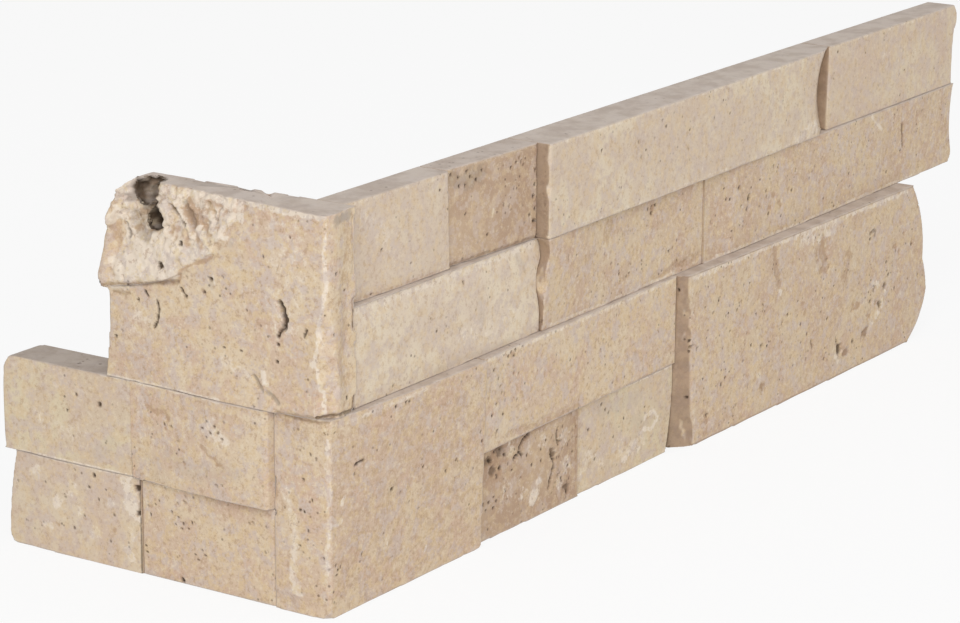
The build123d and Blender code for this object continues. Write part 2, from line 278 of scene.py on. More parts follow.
# %% The upper corner block
MARKS["corner_block_upper"] = [
    # pale dust along the joint with the stone below, painted lighter as well to lift the joint's shade
    mark(0.8, (86, 76.6), (30, 76.6), rag=0.3, calcite=0.75),
    # the brown rounded edge on the left of the crust
    mark(3.4, (85.6, 113), (84.6, 120), (84.2, 128), (83.8, 138), (81.6, 146), (79.4, 151), sink=-3,
         rag=0.12, rust=0.35),
    mark(3.2, (84.5, 136), (83.2, 142), (81, 148), sink=-2, rag=0.12),
    mark(3.2, (82.2, 135.1), (79.5, 129.3), rag=0.4, rust=0.7),
    # the pale knobs between that edge and the holes
    mark(3, (80.6, 150.5), (78, 148.6), (76.3, 145), (80, 140.6), (82.6, 137.2), sink=-1.8, rag=0.5,
         calcite=1),
    mark(1.3, (82.4, 145), sink=1, rag=0.4, earth=0.6),
    mark(1.7, (76.9, 145.6), (74.3, 145.3), sink=1, rag=0.5, earth=0.45, ash=0.5),
    mark(3.2, (73.7, 139.9), (70.6, 136.9), (68.8, 133.1), (65.8, 132.9), sink=0.9, rag=0.5, earth=0.3,
         rust=0.4, ash=0.6),
    mark(1.3, (77.8, 137.9), (74.2, 135), (71.7, 132.3), sink=-0.7, rag=0.4, calcite=1),
    mark(0.8, (76.4, 136), (74.6, 131.8), (74.8, 130.7), sink=0.9, rag=0.3, earth=0.6),
    # the broken top arris
    mark(2.4, (57.2, 148.6), (54, 147.4), (51, 149.4), sink=-0.6, rag=0.5, calcite=1),
    mark(2.4, (49.8, 151), (40.3, 151.4), (30, 152), (12, 152.2), (-8, 152.2), (-18, 152.2), calcite=1),
    # the shell-like knob, the ridge that curls round it and the grooves beside it, whose earth and rust are
    # partly painted shadow beside the ridge
    mark(5, (58.6, 142.2), sink=-2.8, rag=0.08, calcite=0.55),
    mark(0.7, (60.4, 143.8), (57.4, 143.6), (56.6, 140.8), (58.8, 139.6), sink=0.35, rag=0.2, rust=0.5),
    mark(1.5, (58.6, 147.2), (53.7, 146.6), (50, 144.2), (46.8, 140.2), (43.9, 136), sink=-1.8, rag=0.2,
         calcite=0.8),
    mark(1.1, (54.3, 145), (50.6, 142.6), (47.6, 139.4), sink=1.5, rag=0.3, earth=0.55, rust=0.6),
    mark(1, (49.6, 147.2), (46.4, 143.6), (43.6, 139.4), sink=1.1, rag=0.4, earth=0.45, rust=0.5),
    # the two holes, their walls and the cleft between them; their earth paint is dirt, and painted shade on
    # the walls that lie in shadow
    mark(2.6, (61, 150.4), sink=-1.6, rag=0.1, rust=0.8),
    mark(3, (70.4, 146), (68.4, 142), (66.4, 139.5), sink=2.6, rag=0.5, earth=0.55, rust=0.6),
    mark(1.6, (66.2, 146.4), (65.4, 142.6), sink=2.2, rag=0.4, earth=0.9),
    mark(1.3, (68, 147), (64.6, 147), sink=-1.2, rag=0.4, rust=0.9),
    mark(1.2, (65.6, 144), (63.4, 145), sink=1, rag=0.3, earth=0.9),
    mark(2, (64.7, 137.4), (60, 138), sink=1.8, rag=0.3, earth=1),
    # the brown porous patch and the pale laces below it
    mark(5, (44, 145.8), (36.7, 145.6), (36.3, 139), sink=0.35, rag=0.7, rust=0.85),
    *spots(1, (41, 146.6), (38, 148.6), (34.4, 146.2), (36.4, 142), (41, 143), (33, 143.2), (44, 143.4),
           (37.6, 138.4), sink=0.5, rag=0.5, rust=1, earth=0.25),
    mark(2, (41.3, 139.4), (37.2, 136), (34.5, 132.4), sink=-0.6, calcite=1),
    mark(2.2, (33.5, 139.3), (28, 137.8), sink=-0.3, calcite=0.8),
    mark(2.3, (30.7, 134.6), sink=0.4, rag=0.5, rust=0.9),
    mark(1.8, (25.2, 135.9), sink=0.2, rag=0.5, ash=0.7),
    mark(2.6, (27.2, 145.7), (22, 145.8), calcite=0.9),
    mark(1.6, (29, 142), rag=0.5, ash=0.8),
    # the smooth pale foot of the crust and its lip
    mark(6, (79, 121), (70, 124), (56, 127), (50, 130), (62, 131), sink=-0.6, rag=0.35, calcite=1),
    mark(3, (78, 116.6), (66, 118), (55, 120), (50.6, 122), sink=-0.4, rag=0.35, calcite=1),
    *spots(2.2, (74, 122), (71.4, 118.6), (53.4, 135), (78, 129), rust=0.4),
    # the brown line under the lip, in rust and earth, is painted shadow beneath the lip, laid in a shallow
    # groove
    mark(1, (86, 112.4), (80.4, 112.7), (70.3, 114), (58.9, 116.4), (50.4, 118), sink=0.9, rag=0.5,
         rust=0.7, earth=0.3),
    mark(1.1, (49.8, 118.2), (48.2, 121.8), (45.2, 124.8), (40.7, 126.6), (37, 127.8), (33.4, 130.4),
         sink=0.8, rag=0.5, rust=0.9),
    mark(1.5, (80.9, 111.4), (73.5, 112.4), sink=-0.3, rag=0.5, calcite=0.7),
    mark(0.8, (81.4, 109.4), (77.6, 109.4), (73.6, 110.2), sink=0.5, rust=0.7, earth=0.2),
    # pits and cracks of the calm face
    *pits(0.6, (73.1, 113.2), (37.2, 116.2), (68.9, 108.2), (80.4, 92.6), (3.5, 101.9), (4.1, 95.4)),
    *pits(1.2, (57.4, 122.9), depth=1.8),
    mark(1.4, (59.2, 123.4), rag=0.4, rust=0.8),
    *pits(0.9, (48.4, 132.9), depth=1.6),
    crack(1.2, 2, (2.2, 117.6), (1.2, 114.5), (0.2, 111.4), (0.9, 108.6)),
    crack(0.8, 1.2, (0.9, 108.6), (2.6, 106.6), (3.6, 105)),
    crack(0.55, 0.9, (59.7, 109.5), (58.8, 106.2), (59.9, 101.2), (61.7, 98.6)),
    crack(0.6, 1.2, (48.2, 116.2), (46.3, 113.4)),
    crack(0.6, 0.9, (-9, 109.2), (-8.2, 106.8)),
    crack(0.5, 0.8, (65.4, 112.2), (64, 110.6)),
    *pits(0.8, (46.2, 113.3), (34.2, 121.7)),
    mark(0.9, (33, 123), (32.4, 120), calcite=0.9),
    *pits(0.4, (17.7, 112.7), (-2.2, 142.6), (10, 133.7), (28.3, 96.9), (20.4, 97)),
    mark(1.8, (34.2, 119.6), ash=0.7),
    # grey scars, sunk a little; their earth paint is painted shade in the scars
    mark(0.8, (14.5, 88.4), (12.7, 86.1), (10.5, 83.4), sink=0.7, rag=0.5, ash=0.8, earth=0.35),
    mark(0.9, (8.6, 83.2), (6.2, 82.3), (3.4, 80), sink=0.7, rag=0.5, ash=0.8, earth=0.3),
    mark(1.9, (10.6, 90), (9.6, 86.6), sink=-0.3, rag=0.5, calcite=0.9),
    mark(2.2, (14.9, 120), (13.1, 117), calcite=0.5),
    # pale and brown clouds
    mark(12, (0, 141), (-3, 126), (2, 112), rag=0.8, calcite=0.42),
    mark(9, (79, 96), (76, 84), (60, 80), rag=0.8, rust=0.35),
    mark(3.4, (73.5, 103), (67.8, 101.6), (63, 101), sink=-0.2, rag=0.7, calcite=0.5),
    mark(2.6, (71.8, 96.4), (64, 94), rag=0.7, calcite=0.4),
    mark(3.4, (28, 92), (22, 90), (17, 88), rag=0.7, calcite=0.45),
    # the white line down the arris
    mark(1, (-18.4, 152), (-18, 145.8), (-16.6, 138.3), (-16.9, 131), (-17.6, 125.7), (-16.4, 120),
         (-15, 114), rag=0.9, calcite=1),
    mark(1.3, (-15, 114), (-14.1, 106.7), (-13.6, 102), (-12.2, 98.2), rag=0.9, calcite=1),
    mark(1.6, (-12.4, 98.6), (-11.6, 96.6), calcite=1),
    mark(0.9, (-12.2, 98.2), (-13.5, 94.7), (-14.3, 90), (-14.7, 84.4), (-14.7, 78.8), rag=0.9, calcite=1),
    # the end that shows on the long leg, and the open joint under it
    mark(2.4, (-13, 149.6), (-4, 149.9), face=LONG, ash=0.8, earth=0.2),
    mark(5, (-6, 145), (-5, 134), (-8, 128), face=LONG, rag=0.8, rust=0.5),
    mark(5, (-12, 121), (-5, 108), (-11, 98), (-6, 84), face=LONG, rag=0.9, rust=0.42),
    mark(4, (-8, 124), (-6, 112), (-9, 100), (-7, 90), face=LONG, sink=0.4),
    mark(0.8, (-18.4, 76.5), (-14.3, 77.4), (-8.2, 77.1), (-1.6, 76.5), face=LONG, sink=1.2, rag=0.5,
         earth=0.55, rust=0.5),
    mark(0.7, (4, 76.6), (-2, 76.6), (-10, 76.6), (-18, 76.4), sink=0.6, rag=0.35, earth=0.3, rust=0.7),
    mark(15, (40, 75), (10, 75), sink=-0.9, rag=0.2),
    mark(12, (28, 74), (0, 74), sink=-0.4, rag=0.2),
    *pits(0.6, (-13.3, 130.3), (-6, 82.4), face=LONG),
    *pits(0.4, (-6.5, 122.9), (-15, 108), face=LONG),
    # bites out of the arris beside the next stone, and chips along the back of the top
    *[mark(2.6, (0, -18, low), (0, -18, high), sink=deep, rag=0.4)
      for low, high, deep in [(129, 147, 0.8), (108, 117, 1.2), (98, 100, 0.6), (76, 80, 1.4)]],
    *[mark(reach, (0, along, 152.4), sink=1.5, rag=0.4)
      for along, reach in [(31.5, 4.5), (21.7, 3.6), (53, 3), (10, 2.5)]],
    mark(5, (-12, 20), (-8, 34), face=BED, rag=0.7, ash=0.8),
]
print("upper corner block:", len(MARKS["corner_block_upper"]), "marks")

# %% [markdown]
# The lower corner block is calmer. A white line of calcite wanders down the arris where the two
# faces meet, and a second, straighter one crosses its short face near the joint.

# %% The lower corner block
MARKS["corner_block_lower"] = [
    mark(1.8, (-17.9, -16.8, 69), (-17.9, -17, 66), (-17.6, -17.6, 64), rag=0.7, calcite=0.9),
    mark(1.4, (-17.6, -17.6, 65), (-17.9, -17.2, 62), (-17.9, -17.5, 56.5), (-16.9, -18, 50.7),
         (-16.2, -18.1, 46.8), rag=0.9, calcite=0.75),
    mark(1.4, (-16.2, -18.1, 46.8), (-17.9, -17, 43), (-17.6, -17.8, 40.8), (-17.6, -17.8, 35.5),
         (-15, -18.2, 35.8), (-11, -18.4, 37.4), rag=0.9, calcite=0.7),
    mark(1.4, (-17.6, -17.8, 35.5), (-17.7, -17.6, 32.6), (-17.9, -17.4, 29.6), (-17.9, -15.7, 26.4),
         (-17.9, -16, 21.6), (-17.9, -16, 16.7), rag=0.9, calcite=0.75),
    mark(2.6, (-17.9, -17, 70), (-17.9, -17.4, 40), (-17.9, -17.4, 8), calcite=0.35),
    mark(3.2, (2.2, 47), (0, 39.5), (-2.4, 34), (-2, 27), (-1.4, 17), (-2.4, 9), face=RETURN, calcite=0.5),
    mark(1.8, (-0.8, 24), (-0.6, 14), (-2, 8), (-4.6, 7.8), face=RETURN, calcite=0.8),
    mark(0.8, (2, 75.8), (-3, 75.2), (-8, 74.8), (-13, 75), (-17, 75.8), face=RETURN, sink=0.4, rust=0.8,
         earth=0.2),
    mark(0.6, (7.2, 50.6), (7.6, 45), (8.2, 40), (8, 36.5), face=RETURN, sink=0.8, rag=0.35, earth=0.5,
         rust=0.8),
    *pits(0.9, (7.4, 37), face=RETURN),
    mark(6.5, (3, 73), (-4, 71), (-12, 69), (-16, 72), face=RETURN, rust=0.45),
    mark(1.2, (-15.6, 72.6), face=RETURN, rag=0.35, calcite=1),
    mark(3, (6, 4), (-4, 3), (-14, 4), face=RETURN, sink=0.5, rag=0.35, rust=0.4),
    *pits(0.45, (-4.6, 40.4), (-6.4, 40), (-14.6, 23.6), (-4.4, 26.9), (-9.3, 62.3), (-6.1, 52.2), (-8, 33),
          (-10, 45), face=RETURN),
    mark(1.5, (-9, 45.4), (-10.6, 43), rag=0.35, calcite=0.85),
    crack(0.6, 0.8, (2.1, 56.8), (-1, 56.7), (-3.1, 56)),
    mark(1.9, (3.8, 53.8), rag=0.35, ash=0.4, calcite=0.5),
    mark(3.6, (19.7, 41), rag=0.35, ash=0.35, rust=0.2),
    *pits(0.8, (19.7, 40.7)),
    *pits(0.55, (-3.1, 52.7), (39.2, 44.2), (60.9, 41.3), (54.2, 38.7), (2.1, 20.4), (78, 44.4),
          (77, 48.2)),
    *pits(0.5, (-14, 20.6), (-12.6, 18.3), (-13.4, 16.4), (-11, 19.4)),
    mark(3, (-13, 18.6), rag=0.35, rust=0.5),
    mark(1, (42.9, 11.4), (41.6, 9.4), rag=0.35, calcite=0.8),
    mark(1.1, (16.8, 22), (17.4, 19.4), rag=0.35, calcite=0.6),
    mark(2.6, (77, 50), (78.6, 30), (77, 10), rag=0.35, rust=0.3),
    mark(1.5, (-8, 73.4), (10, 74), (28, 74.6), (40, 74.6), rag=0.35, calcite=0.5),
    mark(70, (0, 38), (76, 38), rag=0, rust=0.4),
    *pits(0.6, (21, 72.4), (27.4, 72.8), (29.4, 72.4)),
]
print("lower corner block:", len(MARKS["corner_block_lower"]), "marks")

# %% [markdown]
# The other stones of the return. The second course has ochre veins and a white, finely pitted
# patch, and the bottom course has pale blotches and an open joint with dark earth in it.

# %% The stones of the return
MARKS["return_second_stone_1"] = [
    mark(3, (71.5, 74), (71, 66), (69.5, 58), (67.5, 48), (66, 41), rag=0.7, calcite=0.35),
    mark(14, (78, 39), (68, 39), sink=1.2, rag=0.15),
    mark(2.2, (68.2, 71.3), (64.7, 67), (58.8, 67.1), (55.2, 64.8), sink=0.25, rag=0.8, rust=0.7),
    mark(5.6, (34, 64.8), (37.3, 66.1), (30.4, 61.6), rag=0.7, calcite=0.6),
    mark(1.5, (38.9, 57.1), (34.3, 54.3), (29.7, 51.7), sink=0.2, rag=0.7, rust=0.7),
    mark(5, (55.6, 51), (41.5, 45.5), (22.7, 50), rag=0.35, ash=0.35),
    *spots(1.1, (56.5, 60.7), (47.3, 48.8), (31.5, 51.6), (55.8, 64.4), sink=0.3, rag=0.5, rust=1),
    *pits(0.45, (36, 67.6), (32.4, 66.2), (34.4, 63.4), (30.6, 64.2), (38.4, 64.6), (28.8, 62),
          (36.2, 61.4), (57.2, 62.2)),
    mark(1.4, (24, 75.2), (8, 75.2), rag=0.5, rust=0.4),
    mark(1.2, (60, 75.6), (44, 75.6), (30, 75.6), rust=0.35, calcite=0.3),
    mark(1.4, (11, 70), (10.6, 60), rag=0.5, rust=0.35),
    # pale dust along the top joint, painted lighter as well to lift the joint's shade
    mark(0.8, (70, 75.9), (30, 75.9), rag=0.3, calcite=0.75),
]
MARKS["return_second_stone_2"] = [
    # pale dust along the top and foot joints, painted lighter as well to lift the joints' shade
    mark(0.8, (88, 75.9), (72, 75.9), rag=0.3, calcite=0.7),
    mark(0.8, (130, 38.5), (72, 38.5), rag=0.3, calcite=0.7),
    *pits(0.9, (89.8, 63.8)),
    *pits(0.5, (105.7, 59), (101, 66)),
    mark(5, (120, 54), (108, 50), (96, 52), rag=0.35, calcite=0.3),
    # painted shade on this stone's open top bed beside the upper corner block, in the earth mask
    mark(16, (-9, 78), (-9, 136), face=BED, rag=0.2, earth=0.24),
    *spots(0.9, (-12, 104), (-8, 97), face=BED, rag=0.5, earth=0.8),
    mark(4.5, (92, 44), (84, 50), rag=0.35, ash=0.3),
]
MARKS["return_bottom_stone_2"] = [
    # pale dust along the top joint, painted lighter as well to lift the joint's shade
    mark(0.8, (126, 37.7), (72, 37.7), rag=0.3, calcite=0.7),
    mark(4.2, (78, 34), (75.4, 30), (75, 24), rag=0.8, calcite=1),
    *spots(4.2, (94.4, 11), (75, 15), (112, 21), (104, 28), (123, 31), (100, 19), (117, 12), (86, 25),
           rag=0.8, calcite=0.75),
    mark(2.8, (77.4, 8.6), (75.4, 5), calcite=0.9),
    *pits(0.8, (93.4, 35)),
    *spots(1.6, (86.4, 28.4), (102.7, 33), (91.6, 24), (98.9, 16), (112, 12), (84, 15), rust=0.7),
    *pits(0.45, (88, 30.4), (91.6, 25.8), (98.9, 17.9), (108, 24), (84, 21), (96, 30), (104, 12), (86, 10),
          (118, 28)),
    mark(0.5, (71.1, 38), (71.3, 30), (71.3, 22), (71.1, 12), (71.1, 0), sink=0.5, rag=0.5, earth=0.7),
    *pits(1.3, (72.4, 33.6)),
    *pits(1, (72.2, 23.8)),
]
MARKS["return_bottom_stone_1"] = [
    mark(4.5, (52, 25.5), (48.5, 23), rust=0.35),
    *pits(0.45, (52.9, 25.9), (50.5, 24), (48.2, 22.5), (56.2, 27.7), (66.4, 24.5), (51.4, 21.8),
          (46.6, 25.2), (54.4, 23)),
    *pits(0.4, (69, 11.5), (68.4, 9.2), (45.1, 12.8), (43.7, 11.1), (40.3, 13.4), (42, 15.4), (62, 31),
          (64, 29)),
    *pits(0.8, (51.4, 1.4)),
    mark(1.5, (64, 37.4), (46, 37.4), rag=0.5, calcite=0.55),
    mark(2.4, (38, 36.6), (20, 36.4), (9, 36.4), rag=0.4, rust=0.4),
]
print("return:", sum(len(MARKS[n]) for n in MARKS if n.startswith("return")), "marks")

# %% [markdown]
# On the long leg each stone has its own character as well. The first bottom stone is a piece
# full of tubes and cracks, and the others here have a few pits, a shade of brown at one edge or a
# pale seam.

# %% The bottom and second courses of the long leg
MARKS["bottom_course_stone_1"] = [
    crack(0.9, 1.8, (117.5, 36.5), (113.2, 34.7), (111.1, 32.8), (109.7, 29.5), (106.8, 28.7)),
    crack(0.9, 1.8, (133.6, 23.6), (135.7, 19.8), (135.2, 16.4), (133, 12.7), (132.3, 10)),
    crack(0.7, 1.2, (137.8, 32.1), (137.1, 29.7), (138.7, 26.4)),
    crack(0.6, 1, (110.4, 31), (112.6, 28.2)),
    mark(4.4, (120.4, 7.8), (121.5, 10), sink=-0.3, rag=0.3, calcite=1),
    mark(2.6, (124.5, 14.5), sink=-0.2, rag=0.3, calcite=0.8),
    mark(0.8, (117, 6), (121, 4.6), (125, 8), sink=0.4, rag=0.3, rust=0.4),
    mark(8, (96, 31), (88, 27), sink=0.5, rag=0.8, rust=0.7),
    *spots(2.6, (88, 32), (92.6, 27), (98, 34), (145.6, 6), (134, 24), sink=0.9, rag=0.9, earth=0.6,
           rust=0.6),
    *spots(5, (104, 33), (128, 32), (143, 28), (102, 17), (113, 13), (140, 8), (119, 29), (146, 16),
           rag=0.9, calcite=0.5),
    mark(4, (90, 12), (88, 15), sink=0.3, rust=0.45, ash=0.2),
    mark(1.6, (151.5, 34), (152.4, 22), (152.4, 8), rag=0.5, rust=0.7),
    *pits(1.1, (91.3, 31.6)),
    *pits(0.8, (84.6, 30.4), (94.1, 34.8), (97.7, 27.3), (95.6, 24.2), (145.7, 4), (86.6, 37),
          (100.8, 31.7)),
    *pits(0.6, (146.2, 15.5), (125.9, 22.6), (119.3, 22.7), (90.1, 15), (92.9, 12.1), (86.6, 14.8),
          (129.5, 30.4), (141, 11.3)),
    *pits(0.5, (105.6, 24.3), (111.4, 19.4), (150, 20.2), (92.6, 28.6), (89, 34), (98.6, 34.4), (103, 27.6),
          (116, 27.4), (146, 24), (93, 16.4), (88.4, 12.2), (94.8, 14.4), (126, 27.4), (139.6, 20.6),
          (147.4, 9.6), (86.2, 25.4), (141.8, 33)),
]
MARKS["bottom_course_stone_2"] = [
    mark(1.5, (206, 20), (213, 21.5), (217, 17.5), (212, 13.5), (205, 15.5), calcite=0.9),
    mark(2.4, (190, 5.5), (195, 8), rag=0.7, calcite=0.9),
    mark(1.3, (197, 9), (204, 15), calcite=0.8),
    mark(0.9, (156, 37.6), (190, 37.6), (228, 37.6), rag=0.5, calcite=0.8),
    mark(5, (158, 8), (164, 16), (172, 10), rag=0.8, calcite=0.45),
    mark(5.6, (186, 12), (193, 9), (203, 11), calcite=0.55),
    mark(5, (197, 20), (205, 16), ash=0.3),
    mark(5, (170, 33), (184, 30), (200, 31), ash=0.45),
    mark(1.4, (156, 36), (156.6, 20), (156.4, 4), rag=0.5, rust=0.45),
    *pits(0.6, (176, 31.1), (172.9, 34), (163.2, 25.8), (178.4, 29.4)),
    *pits(0.45, (206, 25), (190, 24), (182, 18), (168, 12)),
]
MARKS["second_course_stone"] = [
    mark(1.2, (88, 72), (85, 66), (84, 58), rust=0.45),
    mark(2.6, (102, 74.4), sink=0.3, rust=0.7),
    *pits(0.55, (100.4, 74.2), (103.6, 74.6), (102.3, 72.5), (98.1, 73.4)),
    *pits(0.5, (87.7, 70.1), (92, 62.6), (93.4, 59.8), (86.5, 52.2), (90.1, 45.2), (144.1, 60.5), (91, 66),
          (89.4, 56), (94, 51)),
    mark(3.5, (80, 48), (82, 42), ash=0.45),
    mark(3, (91, 66), (91.6, 54), (90.4, 44), rag=0.7, ash=0.25, calcite=0.2),
    mark(2.2, (98, 41), (112, 40), (130, 39.4), (152, 39.2), sink=0.5, rag=0.4, rust=0.6),
    mark(1.4, (160, 38.6), (228, 38.6), rag=0.5, rust=0.5),
    mark(1.4, (84, 75.2), (140, 75.2), (226, 75.2), calcite=0.65),
]
lower = [name for name in MARKS if name.startswith(("bottom", "second"))]
print("bottom and second courses:", sum(len(MARKS[name]) for name in lower), "marks")

# %% [markdown]
# The end block is two courses high, the thickest and the most porous. Its holes are lined with
# calcite and with rust where water stood in them, and its near end was cut on a slant.

# %% The end block
MARKS["end_block"] = [
    *pits(0.9, (261.5, 21.6), (380.7, 13), (364.7, 16.8)),
    *pits(0.7, (264.5, 24), (353, 11.5), (393.9, 58.9), (411.2, 44.2), (413.6, 37.7)),
    mark(2.2, (366.8, 13.6), (367.4, 11.4), sink=1.6, rag=0.5, earth=0.9),
    mark(2.6, (372.2, 9.1), (375, 9.6), sink=0.9, rust=1, earth=0.2),
    mark(2.4, (363.6, 10), (368, 6.6), ash=0.5, calcite=0.6),
    mark(3, (393.7, 15.5), (391, 14), sink=0.9, rust=1, earth=0.25),
    mark(1.6, (396.5, 19), (399, 17.5), calcite=0.8),
    *spots(2.6, (398, 37.4), (402.6, 36), (411, 29.6), (407.6, 26), (403.4, 20.4), sink=-0.3, rag=0.8,
           calcite=0.95),
    *spots(1.7, (399.6, 34.4), (396.3, 28.6), (405.6, 24.8), (410.2, 33), sink=1.2, rag=0.7, earth=0.7,
           rust=0.5),
    *spots(3, (395.4, 22), (402.4, 26.4), (380.4, 28.8), (383.7, 30.6), sink=0.5, rag=0.8, rust=0.9),
    mark(0.9, (393.7, 61.5), (397, 62.4), (399.2, 61.2), (398.8, 59), sink=0.6, earth=0.5, rust=0.6),
    mark(2.8, (396, 59.6), rag=0.8, rust=0.6),
    *spots(2.4, (428.6, 54.3), (419.8, 50.1), (436.5, 48.3), (424.6, 47), sink=0.5, rag=0.8, rust=0.9),
    *pits(0.6, (427.6, 55.4), (420.4, 47.6), (436.8, 47.6), (250.5, 11), (240.6, 42.3), (286.3, 33.8),
          (273.8, 52.4), (330, 33), (336, 27), (318, 40), (355, 30), (262, 38)),
    mark(3.4, (305.2, 73), (307.4, 64), (309.3, 56), sink=0.35, rag=0.8, rust=0.75, ash=0.2),
    mark(2, (310.4, 52), rag=0.5, calcite=1),
    mark(6, (348.2, 68.4), (346.9, 62.9), (351, 58), sink=0.4, rag=0.9, rust=0.75, ash=0.3),
    mark(2.8, (354.3, 53.9), (349, 54), sink=0.4, rag=0.8, rust=0.8),
    mark(5, (373, 56), (371.8, 49.3), (370.5, 44), rag=0.9, rust=0.65),
    *spots(2.2, (279.5, 48.5), (297.1, 45.3), (331.6, 42.4), (333.5, 37.8), (345, 41.9), rag=0.8, rust=0.7),
    mark(0.8, (340.4, 22.9), (341.5, 19.3), sink=0.6, rag=0.5, earth=0.5, rust=0.6),
    mark(3.2, (293.9, 17.6), rag=0.8, calcite=0.9),
    mark(2.6, (297.5, 11.8), sink=0.6, rag=0.8, rust=1, earth=0.15),
    mark(2, (248.9, 11.1), (251, 8), sink=0.4, rag=0.7, rust=0.8),
    *pits(0.5, (258, 60), (284, 62), (300, 30), (268, 44), (246, 28), (360, 44), (385, 40), (412, 40),
          (420, 30), (290, 47)),
    mark(2, (236, 74.6), (290, 74.8), (360, 75), (430, 74.8), rag=0.7, calcite=0.7),
    mark(4, (330, 72), (338, 70), (362, 72), rag=0.9, calcite=0.6),
    mark(1.6, (236, 70), (238.4, 40), (240, 10), calcite=0.35),
    mark(3, (246, 3), (262, 4), rust=0.45),
    *pits(0.6, (-20.4, 42.6), (-20.6, 47.4), (-17.4, 70), (-19.4, 22.2), face=RETURN),
]
print("end block:", len(MARKS["end_block"]), "marks")

# %% [markdown]
# The third course is the pale one. Its middle stone stands out over its neighbour, and the broken
# edge throws a shadow there.

# %% The third course of the long leg
MARKS["third_course_stone_1"] = [
    mark(3, (108.9, 110), (112, 106), ash=0.5),
    mark(3, (81.9, 99), (84, 90), ash=0.35),
    mark(7, (30, 106), (44, 98), (60, 92), rust=0.15),
    mark(7, (70, 88), (90, 84), (106, 88), calcite=0.4),
    mark(1.8, (52, 78), (105, 77.6), rag=0.5, ash=0.35),
    mark(9, (0, 114.3), (60, 114.3), (124, 114.3), sink=0.9, rag=0.15),
    mark(2.6, (4, 112.6), (40, 112.6), (80, 112.8), (122, 112.6), rag=0.7, calcite=0.65),
    *pits(0.5, (53, 93.5), (24.4, 79)),
]
MARKS["third_course_stone_2"] = [
    mark(3.6, (210.6, 108.4), sink=0.5, rag=0.9, rust=0.9),
    *pits(0.8, (210.7, 109.4), (211.3, 106.8)),
    *pits(0.6, (207.6, 109.2), (213.7, 110), (184.2, 87.1), (225.5, 87.6)),
    *pits(0.45, (192.6, 85.4), (190.4, 84.6), (228.4, 88.4), (232, 91), (148.4, 102.7)),
    mark(2.4, (186, 84.6), (192, 84.6), rust=0.5),
    mark(2.2, (214, 78.6), (232, 79), (250, 80), sink=0.5, rag=0.7, rust=0.5),
    mark(2, (228, 88), rust=0.6),
    mark(5, (176, 108.8), (171, 104), rag=0.8, rust=0.6),
    mark(4.5, (161.7, 101.5), (158, 97), rag=0.8, rust=0.5),
    mark(4, (188.2, 102.3), rag=0.8, rust=0.5),
    mark(3, (232, 80), (240, 79.9), sink=0.3, rag=0.8, rust=0.7),
    mark(1.3, (130, 77.2), (190, 77), (230, 77), calcite=0.65),
]
MARKS["third_course_stone_3"] = [
    mark(20, (254, 76), (256, 96), (258, 116), sink=1.3, rag=0.1),
    *pits(1, (281.5, 104.1)),
    *pits(1.2, (290.5, 98.1)),
    *pits(0.8, (289.1, 93.2)),
    *pits(0.6, (271.7, 100.6), (274.6, 100.1), (329.5, 93.7), (283.8, 95.6), (423.1, 84), (384.6, 90.9),
          (437.2, 91.4), (306, 98)),
    *spots(2.2, (326.7, 94.1), (312.9, 94.4), (310, 89.8), (318.9, 89.2), sink=0.4, rag=0.8, rust=0.8),
    *pits(0.75, (309.1, 87)),
    mark(7, (283, 107), (290, 98), (306, 96), rag=0.8, rust=0.3),
    mark(1, (437.9, 104), (438.6, 98.7), (439.4, 93.7), sink=0.8, rag=0.5, earth=0.6, rust=0.6),
    mark(1.5, (406, 113), (412, 108.6), (418, 104), calcite=0.7),
    mark(6, (478, 104), (486, 92), (490, 84), rust=0.35),
    mark(1.3, (262, 77), (360, 77), (450, 77), calcite=0.7),
    *pits(0.45, (270, 106), (300, 104), (320, 84), (346, 96), (360, 84), (400, 92), (455, 86), (298, 82),
          (276, 86), (312, 108)),
]
print("third course:", sum(len(MARKS[n]) for n in MARKS if n.startswith("third")), "marks")

# %% [markdown]
# The top course is the calmest. Its short brown stone has a row of pits under the top arris, and
# pale dust lies along the arrises of all four.

# %% The top course
MARKS["top_course_stone_1"] = [
    mark(6, (10, 146), (24, 138), (30, 128), calcite=0.35),
    mark(5, (14, 132), (18, 120), rust=0.25),
    mark(1.4, (0, 151.6), (30, 151.6), (62, 151.6), rag=0.5, calcite=0.4),
    mark(1.4, (3, 115), (30, 115), (62, 115), rag=0.5, rust=0.55),
    *pits(0.5, (15.7, 115.4), (22.1, 130.9), (58.7, 146.3), (40, 122)),
]
MARKS["top_course_stone_2"] = [
    mark(4.4, (70, 148), (78, 146), (86, 147), sink=0.25, rag=0.7, earth=0.2, ash=0.2),
    *pits(0.6, (68.5, 150), (73.2, 148.1), (78.5, 149.4), (84, 145.2), (77.2, 144.2), (88, 148.3),
          (80.6, 147), (74, 144.6)),
    *pits(0.55, (111.9, 148.8), (109.8, 147.4), (118.7, 124.7), (101.7, 132.1), (77.6, 133), (91.4, 122.3),
          (106, 146)),
    *pits(0.7, (122.4, 126.7), (121.6, 131.6), (122.4, 136.4), (121.4, 122), (122.8, 142)),
    mark(1.2, (94.7, 131.5), (94.1, 128.9), rag=0.4, calcite=0.8),
    mark(0.9, (66, 114.7), (93, 114.8), (124, 114.7), sink=0.4, earth=0.35, rust=0.5),
    mark(1.2, (70, 151.8), (118, 151.8), calcite=0.35),
]
